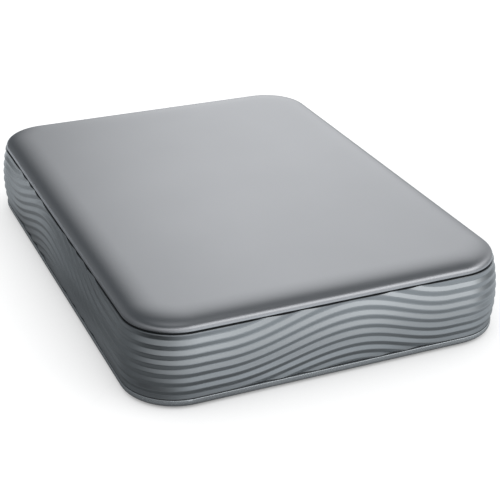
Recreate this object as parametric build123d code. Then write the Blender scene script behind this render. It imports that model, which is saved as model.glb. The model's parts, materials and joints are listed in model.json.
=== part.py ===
from build123d import *
import math
import os

# Portable external hard drive, in millimetres. The origin is under the middle of the case, on the
# surface that it stands on. +X runs along a short side, +Y towards the end with the port, +Z up.

# Disk drive: plan size, and what its height is made of
drive_width = 69.85
drive_length = 100.35
casting_floor = 2.6  # drive underside to the floor of the disk chamber
hub_clear = 0.9  # chamber floor to the hub's flange
flange_thickness = 0.9
platter_count = 4
platter_thickness = 0.635
spacer_thickness = 1.6
clamp_rise = 0.26  # top platter to the clamp's plate
clamp_plate = 0.6
clamp_head = 0.6
lid_clear = 0.7  # clamp screw to the lid
lid_plate = 0.6
lid_panel = 0.5  # raised middle of the lid
gasket_thickness = 0.2

# Case: room round the drive
side_gap = 5.775
front_gap = 2.1
bridge_bay = 10.95  # drive to the wall with the port
drive_lift = 0.6
drive_top_gap = 1.1

# Case: wave band
band_wall = 2.2  # from the band's upper and lower edges to its inside
band_bulge = 1.1  # how far the band's waist stands out past those edges
corner_radius = 12.8  # in plan, at the waist
ridge_pitch = 2.07
ridge_depth = 0.4
top_crest_drop = 0.14  # seam to the first crest, at the corners
long_wave_rise = 8.7
long_wave_peak = 3.9  # from the middle of the long side
long_wave_start = 8.7  # flat run before the wave
long_wave_end = 5.2  # flat run after it
short_wave_rise = 4.9
short_wave_peak = 3.75
short_wave_start = 6.0
short_wave_end = 4.0
station_step = 5.0  # spacing of the points along a wave
ridge_spare = 2  # half pitches that the ridges run on past the seam
end_spare = 3  # half pitches from the last ridge to each flat end
flange_height = 0.6  # the band's inner flange, above the seam
flange_depth = 0.1  # and below it
flange_edge = 0.4  # drive to the flange

# Case: cover
cover_wall = 1.0
cover_depth = 2.6  # top of the case to the seam
cover_inset = 0.31
seam_gap = 0.3
cover_edge_run = 7.5  # how far in from its edge the cover starts to fall
cover_edge_low = 0.49  # fullness of the edge curve at its foot
cover_edge_high = 0.806  # and at the top
tape_width = 2.0
tape_length = 90.0

# Case: base tray
base_floor = 1.5
rim_height = 1.8
rim_proud = 0.55
rim_round = 1.2
rim_break = 0.15
base_gap = 0.2
tab_width = 8.0
tab_thickness = 1.2
tab_height = 6.4
hook_reach = 0.6
hook_height = 1.6
long_tab_at = 15.0
front_tab_at = 12.0
port_tab_at = 28.0

# Feet, bumpers, sheet and pads
foot_stand = 0.4
foot_seat = 0.6
foot_radius = 4.0
foot_chamfer = 0.3
foot_inset = 11.0
bumper_leg = 17.0
sheet_thickness = 0.2
sheet_length = 54.0
pad_width = 44.0
pad_length = 9.0
pad_at = 26.0

# Bridge board and its port
board_offset = -4.2
board_width = 38.0
board_thickness = 1.0
bridge_clear = 0.6  # board to the wall with the port
post_radius = 2.0
post_inset = 2.6
bridge_screw_radius = 0.7
bridge_head_radius = 1.5
bridge_head_height = 0.8
bridge_screw_length = 3.0
port_offset = 0.0
port_length = 7.0
port_wall = 0.3
port_height = 1.9
port_main_width = 6.9
port_side_width = 4.3
port_neck_width = 0.9
port_neck_height = 1.1
port_chamfer = 0.5
port_setback = 0.25
tongue_thickness = 0.7
tongue_length = 4.0
tongue_side = 0.9  # shell to the tongue, each side
tongue_root = 1.5
recess_width = 21.0
recess_height = 8.0
recess_radius = 2.5
recess_depth = 0.75
recess_offset = 1.1
led_offset = 8.6
led_width = 1.6
led_length = 1.0
led_height = 1.8
pipe_radius = 0.9
pipe_collar = 1.6
pipe_collar_length = 1.0
chip_width = 5.0
chip_length = 4.4
chip_height = 0.9
chip_offset = -15.4
crystal_width = 2.5
crystal_length = 3.2
crystal_height = 0.8
crystal_corner = 0.6
crystal_offset = -9.6

# Drive: casting, lid and controller board
casting_corner = 3.0
chamber_wall = 2.5
chamber_corner = 3.0
chamber_front = 58.2  # drive's closed end to the actuator chamber
chamber_rear = 7.7  # actuator chamber to the drive's other end
shroud_gap = 0.7
lid_inset = 0.4
panel_inset = 7.0
panel_corner = 8.0
boss_radius = 2.6
boss_at = 61.2  # middle lid screws, from the drive's closed end
boss_inset = 4.7
lid_screw_inset = 3.9
lid_screw_radius = 0.9
lid_head_radius = 1.9
lid_head_height = 0.45
lid_screw_length = 4.0
control_pocket = 1.6
pocket_rail = 1.9
control_side = 2.025  # pocket's side to the board
control_length = 50.0
control_thickness = 0.6
control_chip_size = 12.0
control_chip_height = 0.8
chip_spread = 12.0  # controller chip to the other chips, each way
memory_width = 8.0
memory_length = 6.0
motor_chip_size = 6.0
board_screw_radius = 0.7
board_head_radius = 1.5
board_head_height = 0.45
board_screw_length = 1.3
board_screw_inset = 4.0
plug_width = 34.0
plug_depth = 6.0
plug_height = 4.1
plug_wall = 1.3
plug_pocket = 4.6
plug_wall_height = 0.6
plug_tongue = 1.1
data_tongue_width = 10.0
power_tongue_width = 18.6
socket_depth = 4.6
socket_side = 1.5
socket_height = 4.8

# Drive: spindle
closed_wall = 1.2  # disk chamber to the drive's closed end
platter_side = 2.425  # platter's edge to the drive's side
platter_bore = 10.0
spacer_radius = 12.3
flange_radius = 12.4
hub_wall = 1.15
hub_top = 2.8
sleeve_radius = 4.2
sleeve_floor = 0.8
sleeve_clear = 0.45  # bearing sleeve to the hub
shaft_radius = 1.6
shaft_end = 0.6
stator_radius = 7.5
stator_height = 2.6
stator_core = 1.1
stator_teeth = 9
tooth_width = 1.3
magnet_thickness = 0.85
magnet_height = 3.0
clamp_land = 1.6
clamp_screw_radius = 0.8
clamp_head_radius = 2.4
clamp_screw_length = 3.0

# Drive: actuator
yoke_side = 1.425  # yoke to the chamber's wall
pivot_ahead = 38.3  # spindle to pivot, along the drive
head_reach = 32.4
park_clear = 1.9  # platter's edge to the parked heads
actuator_swing = 33.0
arm_thickness = 0.8
arm_reach = 21.0
arm_root = 10.0
arm_tip = 4.8
block_radius = 6.5
post_shaft = 2.4
bearing_radius = 4.4
suspension_thickness = 0.12
suspension_root = 4.4
suspension_tip = 1.4
suspension_overlap = 3.0
lift_tab = 1.4
slider_length = 1.2
slider_width = 1.0
slider_height = 0.1
coil_inner = 9.2
coil_outer = 15.4
coil_half_angle = 22.0
coil_wire = 2.0
coil_thickness = 1.8
prong_angle = 7.0
magnet_gap = 0.5
voice_magnet = 1.4
yoke_thickness = 1.5
yoke_inner = 7.6
yoke_outer = 19.0
yoke_post = 1.2
ramp_depth = 3.0
ramp_angle = 10.5
ramp_finger = 0.6
ramp_lead = 1.5
filter_width = 3.0
filter_length = 8.0
filter_height = 8.0
filter_at = 72.4  # from the drive's closed end

# Fits
running_clear = 0.05
press_clear = 0.02
seat_clear = 0.1
slip_clear = 0.2
free_clear = 0.3

# Heights that follow from these
platter_pitch = platter_thickness + spacer_thickness
stack_height = platter_count * platter_pitch - spacer_thickness
hub_height = casting_floor + hub_clear + flange_thickness
lid_thickness = lid_plate + lid_panel
drive_height = (hub_height + stack_height + clamp_rise + clamp_plate + clamp_head + lid_clear
                + lid_thickness)
case_height = foot_stand + base_floor + drive_lift + drive_height + drive_top_gap + cover_wall
floor_top = foot_stand + base_floor
rim_top = foot_stand + rim_height
seam = case_height - cover_depth
cover_foot = seam + seam_gap
drive_base_level = floor_top + drive_lift
drive_top = drive_base_level + drive_height
chamber_floor = drive_base_level + casting_floor
flange_top = drive_base_level + hub_height
stack_top = flange_top + stack_height
lid_bottom = drive_top - lid_thickness
casting_top = lid_bottom - gasket_thickness
flange_bottom = seam - flange_depth

# Plan of the case
inner_half_x = drive_width / 2 + side_gap
inner_half_y = (drive_length + front_gap + bridge_bay) / 2
edge_half_x = inner_half_x + band_wall
edge_half_y = inner_half_y + band_wall
edge_radius = corner_radius - band_bulge
inner_radius = edge_radius - band_wall
half_x = edge_half_x - edge_radius
half_y = edge_half_y - edge_radius
drive_front = front_gap - inner_half_y
drive_rear = drive_front + drive_length
drive_middle = drive_front + drive_length / 2

# Plan of the drive
platter_radius = drive_width / 2 - platter_side
park_radius = platter_radius + park_clear
pivot_offset = drive_width / 2 - chamber_wall - yoke_side - yoke_outer
spindle_y = drive_front + closed_wall + shroud_gap + platter_radius
pivot_y = spindle_y + pivot_ahead
pivot_span = math.hypot(pivot_offset, pivot_ahead)
spindle_bearing = math.degrees(math.atan2(-pivot_ahead, -pivot_offset))
park_cosine = (pivot_span**2 + head_reach**2 - park_radius**2) / (2 * pivot_span * head_reach)
arm_angle = spindle_bearing - math.degrees(math.acos(park_cosine))
magnet_angle = arm_angle + 180 + actuator_swing / 2
magnet_half_angle = actuator_swing / 2 + coil_half_angle
arm_levels = [flange_top + i * platter_pitch - spacer_thickness / 2 for i in range(platter_count + 1)]
coil_level = arm_levels[platter_count // 2]
lid_screw_sites = [
    (side * (drive_width / 2 - inset), along)
    for side in (-1, 1)
    for inset, along in (
        (lid_screw_inset, drive_front + lid_screw_inset),
        (boss_inset, drive_front + boss_at),
        (lid_screw_inset, drive_rear - lid_screw_inset),
    )
]

# Controller board, its plug, and the bridge board that plugs into it
control_width = drive_width - 2 * (pocket_rail + control_side)
control_top = drive_base_level + control_pocket - running_clear
control_bottom = control_top - control_thickness
control_y = drive_rear - running_clear - control_length / 2
plug_level = control_top + plug_height / 2
board_bottom = plug_level - board_thickness / 2
board_top = board_bottom + board_thickness
board_front = drive_rear + socket_depth
board_rear = inner_half_y - bridge_clear
board_y = (board_front + board_rear) / 2
bridge_screw_sites = [board_offset + side * (board_width / 2 - post_inset) for side in (-1, 1)]
control_screw_sites = [
    (control_width / 2 - board_screw_inset, control_y - control_length / 2 + board_screw_inset),
    (board_screw_inset - control_width / 2, control_y - control_length / 2 + board_screw_inset),
    (control_width / 2 - board_screw_inset, control_y + control_length / 2 - board_screw_inset),
]
port_level = board_top + port_wall + port_height / 2
recess_face = edge_half_y - recess_depth
port_face = recess_face - port_setback

# Places that the tray's tabs hook into: turn of the wall, its distance, and where along it
tab_sites = [(turn, inner_half_x, along) for turn in (0, 180) for along in (-long_tab_at, long_tab_at)]
tab_sites += [(-90, inner_half_y, along) for along in (-front_tab_at, front_tab_at)]
tab_sites += [(90, inner_half_y, along) for along in (-port_tab_at, port_tab_at)]
hook_top = floor_top + tab_height


def slab(width, length, bottom, top, radius=0.0, x=0.0, y=0.0):
    plan = RectangleRounded(width, length, radius) if radius > 0 else Rectangle(width, length)
    return Pos(x, y, bottom) * extrude(plan, top - bottom)


def rod(radius, bottom, top, x=0.0, y=0.0):
    return Pos(x, y, bottom) * extrude(Circle(radius), top - bottom)


def tube(outer, inner, bottom, top, x=0.0, y=0.0):
    return Pos(x, y, bottom) * extrude(Circle(outer) - Circle(inner), top - bottom)


def sector(inner, outer, middle, half_angle):
    # Flat piece of a ring, between two radii and to each side of a middle angle.
    corners = [(0, 0)]
    for turn in (-half_angle, 0, half_angle):
        angle = math.radians(middle + turn)
        corners.append((2 * outer * math.cos(angle), 2 * outer * math.sin(angle)))
    return (Circle(outer) - Circle(inner)) & Polygon(*corners, align=None)


def plate(plan, bottom, top, x=0.0, y=0.0):
    return Pos(x, y, bottom) * extrude(plan, top - bottom)


def carry_round(section, half_width, half_length):
    # Carries an upright section, drawn outwards from a corner's centre, round the case's plan.
    corners = [
        (half_width, half_length, 2 * half_width),
        (-half_width, half_length, 2 * half_length),
        (-half_width, -half_length, 2 * half_width),
        (half_width, -half_length, 2 * half_length),
    ]
    ring = Part()
    for turn, (x, y, run) in enumerate(corners):
        ring += Pos(x, y) * Rot(0, 0, 90 * turn) * revolve(section, Axis.Z, 90)
        ring += Pos(x, y) * Rot(0, 0, 90 * (turn + 1)) * extrude(section, run, dir=(0, 1, 0))
    return ring


def wave_lift(along, reach, peak, start, end, rise):
    # Height of the wave on a side that runs from -reach to reach.
    run = reach - end - peak if along > peak else reach - start + peak
    share = min(abs(along - peak) / run, 1.0)
    return rise * (1 + math.cos(math.pi * share)) / 2


def long_lift(along):
    return wave_lift(-along, half_y, long_wave_peak, long_wave_start, long_wave_end, long_wave_rise)


def short_lift(along):
    return wave_lift(along, half_x, short_wave_peak, short_wave_start, short_wave_end, short_wave_rise)


def no_lift(along):
    return 0.0


def bulge_at(level):
    middle = (foot_stand + seam) / 2
    share = min(abs(level - middle) / (seam - middle), 1.0)
    return band_bulge * (1 - share**2)


def side_line(half_run, wall, lift_at, level, depth):
    # Wave line of one side, drawn as the side that faces +X.
    steps = math.ceil(2 * half_run / station_step)
    spots = [2 * half_run * step / steps - half_run for step in range(steps + 1)]
    points = []
    for spot in spots:
        z = level + lift_at(spot)
        points.append((wall + edge_radius + bulge_at(z) - depth, spot, z))
    return Edge.make_spline(points, tangents=[(0, 1, 0), (0, 1, 0)], parameters=spots)


def band_wire(level, depth, lifts):
    # One closed line round the band, with a wave on each side and a flat arc at each corner.
    sides = [(half_y, half_x, lifts[0]), (half_x, half_y, lifts[1])]
    radius = edge_radius + bulge_at(level) - depth
    edges = []
    for turn in range(4):
        half_run, wall, lift_at = sides[turn % 2]
        line = side_line(half_run, wall, lift_at, level, depth)
        arc = Edge.make_circle(radius, Plane((wall, half_run, level)), 0, 90)
        edges += [line.rotate(Axis.Z, 90 * turn), arc.rotate(Axis.Z, 90 * turn)]
    return Wire(edges)


def ridged_body():
    # Crests and valleys of the wave ridges, joined by straight facets between two flat ends.
    half_pitch = ridge_pitch / 2
    top_crest = seam - top_crest_drop
    rise = max(long_wave_rise, short_wave_rise)
    steps_down = math.ceil((top_crest - rim_top + rise) / half_pitch) + 1
    waves = (long_lift, short_lift)
    flats = (no_lift, no_lift)
    wires = [band_wire(top_crest - (steps_down + end_spare) * half_pitch, 0.0, flats)]
    for step in range(-steps_down, ridge_spare + 1):
        wires.append(band_wire(top_crest + step * half_pitch, ridge_depth * (step % 2), waves))
    wires.append(band_wire(top_crest + (ridge_spare + end_spare) * half_pitch + rise, 0.0, flats))
    return Solid.make_loft(wires, ruled=True)


def tab_window(turn, wall, along):
    # Pocket in the band's inside for a hook of the tray.
    middle = hook_top - hook_height / 2
    reach = 2 * (hook_reach + slip_clear)
    block = Box(reach, tab_width + 2 * free_clear, hook_height + 2 * free_clear)
    return Rot(0, 0, turn) * Pos(wall, along, middle) * block


def port_profile(grow):
    # Opening of the port: a wide main part and a side part, joined by a low neck.
    width = port_main_width + port_neck_width + port_side_width
    main_x = (port_main_width - width) / 2
    side_x = (width - port_side_width) / 2
    neck_x = port_main_width - width / 2 + port_neck_width / 2
    main = Rectangle(port_main_width, port_height)
    main = chamfer(main.vertices().group_by(Axis.Y)[0], port_chamfer)
    neck = Rectangle(port_neck_width + 2 * port_chamfer, port_neck_height)
    profile = Pos(main_x, 0) * main
    profile += Pos(side_x, 0) * Rectangle(port_side_width, port_height)
    profile += Pos(neck_x, (port_height - port_neck_height) / 2) * neck
    return offset(profile, grow, kind=Kind.INTERSECTION)


def along_port(plan, start, length):
    # Extrudes a plan of the port's end inwards from a distance along +Y.
    return Pos(port_offset, start, port_level) * extrude(Plane.XZ * plan, length)


def band_hollow():
    # Room inside the band: the case's inside, the flange's opening, hook pockets and port openings.
    bottom = rim_top + base_gap
    hollow = slab(2 * inner_half_x, 2 * inner_half_y, bottom - base_gap, flange_bottom, inner_radius)
    opening_width = drive_width + 2 * flange_edge
    opening_length = 2 * (inner_half_y - front_gap + flange_edge)
    hollow += slab(opening_width, opening_length, bottom, case_height, casting_corner)
    for site in tab_sites:
        hollow += tab_window(*site)
    recess = Pos(recess_offset, 0) * RectangleRounded(recess_width, recess_height, recess_radius)
    hollow += along_port(recess, edge_half_y + 2 * band_bulge, recess_depth + 2 * band_bulge)
    room = 2 * (port_wall + free_clear)
    hole = Rectangle(port_main_width + port_neck_width + port_side_width + room, port_height + room)
    hollow += along_port(hole, edge_half_y, 2 * band_wall)
    pipe_hole = Pos(led_offset - port_offset, 0) * Circle(pipe_radius + slip_clear)
    return hollow + along_port(pipe_hole, edge_half_y, 2 * band_wall)


def wave_band():
    bottom = rim_top + base_gap
    lip = cover_inset + cover_wall + free_clear
    clear = 2 * band_bulge
    block = slab(2 * (edge_half_x + clear), 2 * (edge_half_y + clear), bottom, seam)
    width = 2 * (edge_half_x - lip)
    length = 2 * (edge_half_y - lip)
    block += slab(width, length, bottom, seam + flange_height, edge_radius - lip)
    return (block & ridged_body()) - band_hollow()


def top_cover():
    # Shell with a flat top that falls away to a soft edge all round.
    radius = edge_radius - cover_inset
    rise = case_height - cover_foot
    crown = radius - cover_edge_run
    skirt = radius - cover_wall
    inner_top = case_height - cover_wall
    outer_edge = Bezier(
        (radius, cover_foot),
        (radius, cover_foot + cover_edge_low * rise),
        (crown + cover_edge_high * cover_edge_run, case_height),
        (crown, case_height),
    )
    inside = Polyline(
        outer_edge @ 1,
        (crown, inner_top),
        (crown + cover_edge_high * (skirt - crown), inner_top),
        (skirt, cover_foot + cover_edge_low * (rise - cover_wall)),
        (skirt, cover_foot),
        outer_edge @ 0,
    )
    section = outer_edge + inside
    cover = carry_round(Plane.XZ * make_face(section), half_x, half_y)
    return cover + slab(2 * (half_x + crown), 2 * (half_y + crown), inner_top, case_height, crown)


def cover_tape(side):
    # Bonding strip on the band's flange, under the cover.
    x = drive_width / 2 + flange_edge + seat_clear + tape_width / 2
    top = case_height - cover_wall - seat_clear
    return slab(tape_width, tape_length, seam + flange_height, top, 0, side * x, 0)


def snap_tab(turn, wall, along):
    # Upright tab with a hook that catches in the band.
    face = wall - slip_clear
    outline = Polyline(
        (face - tab_thickness, floor_top),
        (face, floor_top),
        (face, hook_top - hook_height),
        (face + hook_reach, hook_top - hook_height / 2),
        (face, hook_top),
        (face - tab_thickness, hook_top),
        close=True,
    )
    tab = extrude(Plane.XZ * make_face(outline), tab_width / 2, both=True)
    return Rot(0, 0, turn) * Pos(0, along, 0) * tab


def base_tray():
    width = 2 * (edge_half_x + rim_proud)
    length = 2 * (edge_half_y + rim_proud)
    tray = slab(width, length, foot_stand, rim_top, edge_radius + rim_proud)
    tray = fillet(tray.faces().sort_by(Axis.Z)[0].edges(), rim_round)
    tray = fillet(tray.faces().sort_by(Axis.Z)[-1].edges(), rim_break)
    tray -= slab(2 * inner_half_x, 2 * inner_half_y, floor_top, rim_top, inner_radius)
    for site in tab_sites:
        tray += snap_tab(*site)
    for x in bridge_screw_sites:
        tray += rod(post_radius, floor_top, board_bottom, x, board_y)
        screw_end = board_top - bridge_screw_length
        tray -= rod(bridge_screw_radius + running_clear, screw_end, board_bottom, x, board_y)
    for x, y in foot_sites():
        tray -= rod(foot_radius + seat_clear, foot_stand, foot_stand + foot_seat, x, y)
    return tray


def foot_sites():
    x = edge_half_x - foot_inset
    y = edge_half_y - foot_inset
    return [(-x, -y), (x, -y), (-x, y), (x, y)]


def foot(x, y):
    pad = rod(foot_radius, 0.0, foot_stand + foot_seat, x, y)
    return chamfer(pad.faces().sort_by(Axis.Z)[0].edges(), foot_chamfer)


def bumper(side, end):
    # Corner of a soft frame that fills the room between the drive and the band.
    front = slip_clear - inner_half_y
    rear = drive_rear + front_gap - slip_clear
    width = 2 * (inner_half_x - slip_clear)
    bottom = floor_top
    top = flange_bottom - running_clear
    frame = slab(width, rear - front, bottom, top, inner_radius - slip_clear, 0, (front + rear) / 2)
    room = (drive_width + 2 * running_clear, drive_length + 2 * running_clear)
    frame -= slab(*room, drive_base_level - running_clear, top, 0, 0, drive_middle)
    corner_x = side * (inner_half_x - bumper_leg / 2)
    corner_y = rear - bumper_leg / 2 if end > 0 else front + bumper_leg / 2
    return frame & slab(bumper_leg, bumper_leg, bottom, top, 0, corner_x, corner_y)


def insulating_sheet():
    width = 2 * (inner_half_x - bumper_leg - free_clear)
    return slab(width, sheet_length, floor_top, floor_top + sheet_thickness, 0, 0, control_y)


def foam_pad(end):
    top = case_height - cover_wall - seat_clear
    return slab(pad_width, pad_length, drive_top, top, 0, 0, drive_middle + end * pad_at)


def bridge_board():
    board = slab(board_width, board_rear - board_front, board_bottom, board_top, 0, board_offset, board_y)
    for x in bridge_screw_sites:
        board -= rod(bridge_screw_radius + seat_clear, board_bottom, board_top, x, board_y)
    return board


def screw(radius, length, head_radius, head_height, x, y, seat, way):
    # Plain screw whose head stands on a seat and points up or down.
    if way > 0:
        return rod(radius, seat - length, seat, x, y) + rod(head_radius, seat, seat + head_height, x, y)
    return rod(radius, seat, seat + length, x, y) + rod(head_radius, seat - head_height, seat, x, y)


def bridge_screws():
    length = bridge_screw_length - running_clear
    size = (bridge_screw_radius, length, bridge_head_radius, bridge_head_height)
    return Compound([screw(*size, x, board_y, board_top, 1).solid() for x in bridge_screw_sites])


def usb_shell():
    return along_port(port_profile(port_wall) - port_profile(0), port_face, port_length)


def usb_tongue():
    # Contact carrier: a block at the back of the shell with a tongue in each part of the opening.
    width = port_main_width + port_neck_width + port_side_width
    carrier = along_port(port_profile(-running_clear), port_face - port_length + tongue_root, tongue_root)
    start = port_face - port_length + tongue_root + tongue_length
    main = Rectangle(port_main_width - 2 * tongue_side, tongue_thickness)
    carrier += along_port(Pos((port_main_width - width) / 2, 0) * main, start, tongue_length)
    side = Rectangle(port_side_width - 2 * tongue_side, tongue_thickness)
    return carrier + along_port(Pos((width - port_side_width) / 2, 0) * side, start, tongue_length)


def bridge_chip():
    return slab(chip_width, chip_length, board_top, board_top + chip_height, 0, chip_offset, board_y)


def clock_crystal():
    top = board_top + crystal_height
    return slab(crystal_width, crystal_length, board_top, top, crystal_corner, crystal_offset, board_y)


def activity_led():
    y = board_rear - bridge_clear - pipe_collar_length - led_length / 2
    return slab(led_width, led_length, board_top, board_top + led_height, 0, led_offset, y)


def light_pipe():
    # Rod with a collar, from the lamp to the floor of the port's recess.
    start = recess_face - seat_clear
    end = board_rear - bridge_clear - pipe_collar_length + seat_clear
    collar_start = inner_half_y - seat_clear
    place = Pos(led_offset - port_offset, 0)
    pipe = along_port(place * Circle(pipe_radius), start, start - end)
    collar = along_port(place * Circle(pipe_collar), collar_start, pipe_collar_length)
    return pipe + (collar - slab(board_width, bridge_bay, 0, board_top, 0, board_offset, inner_half_y))


def sata_plug():
    # Open shroud on the controller board with a data tongue and a power tongue inside.
    rear = drive_rear - seat_clear
    y = rear - plug_depth / 2
    plug = slab(plug_width, plug_depth, control_top, control_top + plug_height, 0, board_offset, y)
    inside = plug_width - 2 * plug_wall
    height = plug_height / 2 - plug_wall_height
    pocket_y = rear - plug_pocket / 2
    plug -= slab(inside, plug_pocket, plug_level - height, plug_level + height, 0, board_offset, pocket_y)
    for x, width in tongue_sites():
        bottom = plug_level - plug_tongue / 2
        plug += slab(width, plug_depth, bottom, bottom + plug_tongue, 0, x, y)
    return plug


def tongue_sites():
    inside = plug_width - 2 * plug_wall
    gap = (inside - data_tongue_width - power_tongue_width) / 3
    data_x = board_offset - inside / 2 + gap + data_tongue_width / 2
    power_x = board_offset + inside / 2 - gap - power_tongue_width / 2
    return [(data_x, data_tongue_width), (power_x, power_tongue_width)]


def sata_socket():
    # Body between the drive and the bridge board, with a slotted nose inside the plug's shroud.
    start = drive_rear + seat_clear
    width = plug_width + 2 * socket_side
    bottom = plug_level - socket_height / 2
    y = (start + board_front) / 2
    body = slab(width, board_front - start, bottom, bottom + socket_height, 0, board_offset, y)
    nose_length = plug_pocket - free_clear + seat_clear
    nose_half = plug_height / 2 - plug_wall_height - slip_clear
    nose_width = plug_width - 2 * plug_wall - 2 * slip_clear
    nose_y = start - nose_length / 2
    nose_bottom = plug_level - nose_half
    nose_top = plug_level + nose_half
    body += slab(nose_width, nose_length, nose_bottom, nose_top, 0, board_offset, nose_y)
    slot = plug_tongue / 2 + slip_clear
    for x, width in tongue_sites():
        slot_width = width + 2 * slip_clear
        body -= slab(slot_width, nose_length, plug_level - slot, plug_level + slot, 0, x, nose_y)
    return body


def chamber_plan():
    # Round room for the platters, joined to the room for the actuator.
    front = drive_front + chamber_front
    rear = drive_rear - chamber_rear
    room = RectangleRounded(drive_width - 2 * chamber_wall, rear - front, chamber_corner)
    plan = Pos(0, spindle_y) * Circle(platter_radius + shroud_gap)
    plan += Pos(0, (front + rear) / 2) * room
    for x, y in lid_screw_sites:
        plan -= Pos(x, y) * Circle(boss_radius)
    return plan


def drive_base():
    size = (drive_width, drive_length)
    casting = slab(*size, drive_base_level, casting_top, casting_corner, 0, drive_middle)
    casting -= plate(chamber_plan(), chamber_floor, casting_top)
    yoke_seat = coil_level - coil_thickness / 2 - magnet_gap - voice_magnet - yoke_thickness
    pad = sector(yoke_inner, yoke_outer, magnet_angle, magnet_half_angle)
    casting += plate(pad, chamber_floor, yoke_seat, pivot_offset, pivot_y)
    pocket_length = control_length + seat_clear
    pocket_top = drive_base_level + control_pocket
    pocket_y = drive_rear - pocket_length / 2
    pocket_width = drive_width - 2 * pocket_rail
    casting -= slab(pocket_width, pocket_length, drive_base_level, pocket_top, 0, 0, pocket_y)
    notch_depth = plug_depth + free_clear
    notch_top = control_top + plug_height + free_clear
    notch_width = plug_width + 2 * free_clear
    notch_y = drive_rear - notch_depth / 2
    casting -= slab(notch_width, notch_depth, drive_base_level, notch_top, 0, board_offset, notch_y)
    sleeve_bottom = drive_base_level + sleeve_floor
    casting -= rod(sleeve_radius + press_clear, sleeve_bottom, chamber_floor, 0, spindle_y)
    for x, y in lid_screw_sites:
        screw_end = lid_bottom + lid_plate - lid_screw_length
        casting -= rod(lid_screw_radius + seat_clear, screw_end - seat_clear, casting_top, x, y)
    for x, y in control_screw_sites:
        screw_end = control_bottom + board_screw_length
        casting -= rod(board_screw_radius + seat_clear, pocket_top, screw_end + seat_clear, x, y)
    return casting


def lid_gasket():
    width = drive_width - 2 * lid_inset
    length = drive_length - 2 * lid_inset
    plan = Pos(0, drive_middle) * RectangleRounded(width, length, casting_corner - lid_inset)
    plan -= chamber_plan()
    for x, y in lid_screw_sites:
        plan -= Pos(x, y) * Circle(lid_screw_radius + seat_clear)
    return plate(plan, casting_top, lid_bottom)


def drive_lid():
    width = drive_width - 2 * lid_inset
    length = drive_length - 2 * lid_inset
    plate_top = lid_bottom + lid_plate
    lid = slab(width, length, lid_bottom, plate_top, casting_corner - lid_inset, 0, drive_middle)
    panel = (width - 2 * panel_inset, length - 2 * panel_inset)
    lid += slab(*panel, plate_top, drive_top, panel_corner, 0, drive_middle)
    for x, y in lid_screw_sites:
        lid -= rod(lid_screw_radius + seat_clear, lid_bottom, plate_top, x, y)
    return lid


def lid_screws():
    size = (lid_screw_radius, lid_screw_length, lid_head_radius, lid_head_height)
    return Compound([screw(*size, x, y, lid_bottom + lid_plate, 1).solid() for x, y in lid_screw_sites])


def controller_board():
    board = slab(control_width, control_length, control_bottom, control_top, 0, 0, control_y)
    for x, y in control_screw_sites:
        board -= rod(board_screw_radius + seat_clear, control_bottom, control_top, x, y)
    return board


def board_screws():
    size = (board_screw_radius, board_screw_length, board_head_radius, board_head_height)
    return Compound([screw(*size, x, y, control_bottom, -1).solid() for x, y in control_screw_sites])


def control_part(width, length, x, y):
    return slab(width, length, control_bottom - control_chip_height, control_bottom, 0, x, y)


def bearing_sleeve():
    bottom = drive_base_level + sleeve_floor
    sleeve = rod(sleeve_radius, bottom, hub_ceiling() - sleeve_clear, 0, spindle_y)
    return sleeve - rod(shaft_radius + running_clear, bottom + shaft_end, case_height, 0, spindle_y)


def hub_ceiling():
    return stack_top + clamp_rise - hub_top


def stator():
    # Toothed core round the bearing sleeve.
    core = sleeve_radius + press_clear
    plan = Circle(core + stator_core)
    for tooth in range(stator_teeth):
        bar = Pos(stator_radius / 2, 0) * Rectangle(stator_radius, tooth_width)
        plan += Rot(0, 0, 360 / stator_teeth * tooth) * bar
    plan = (plan & Circle(stator_radius)) - Circle(core)
    bottom = flange_top - flange_thickness
    return plate(plan, bottom, bottom + stator_height, 0, spindle_y)


def rotor_magnet():
    outer = platter_bore - running_clear - hub_wall - press_clear
    bottom = flange_top - flange_thickness
    return tube(outer, outer - magnet_thickness, bottom, bottom + magnet_height, 0, spindle_y)


def spindle_hub():
    # Inverted cup with a flange under the first platter.
    top = stack_top + clamp_rise
    bottom = flange_top - flange_thickness
    hub = rod(platter_bore - running_clear, bottom, top, 0, spindle_y)
    hub += rod(flange_radius, bottom, flange_top, 0, spindle_y)
    hub -= rod(platter_bore - running_clear - hub_wall, bottom, hub_ceiling(), 0, spindle_y)
    return hub - rod(shaft_radius + press_clear, bottom, top, 0, spindle_y)


def spindle_shaft():
    top = stack_top + clamp_rise
    bottom = drive_base_level + sleeve_floor + shaft_end + running_clear
    screw_end = top + clamp_plate - clamp_screw_length
    shaft = rod(shaft_radius, bottom, top, 0, spindle_y)
    return shaft - rod(clamp_screw_radius + running_clear, screw_end - seat_clear, top, 0, spindle_y)


def platter(index):
    bottom = flange_top + index * platter_pitch
    return tube(platter_radius, platter_bore, bottom, bottom + platter_thickness, 0, spindle_y)


def spacer(index):
    bottom = flange_top + index * platter_pitch + platter_thickness
    return tube(spacer_radius, platter_bore, bottom, bottom + spacer_thickness, 0, spindle_y)


def disk_clamp():
    # Plate on the hub whose rim presses on the top platter.
    seat = stack_top + clamp_rise
    clamp = rod(spacer_radius, stack_top, seat + clamp_plate, 0, spindle_y)
    clamp -= rod(spacer_radius - clamp_land, stack_top, seat, 0, spindle_y)
    return clamp - rod(clamp_screw_radius + seat_clear, seat, seat + clamp_plate, 0, spindle_y)


def clamp_screw():
    seat = stack_top + clamp_rise + clamp_plate
    size = (clamp_screw_radius, clamp_screw_length, clamp_head_radius, clamp_head)
    return screw(*size, 0, spindle_y, seat, 1)


def pivot_post():
    return rod(post_shaft, chamber_floor, lid_bottom - seat_clear, pivot_offset, pivot_y)


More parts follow.
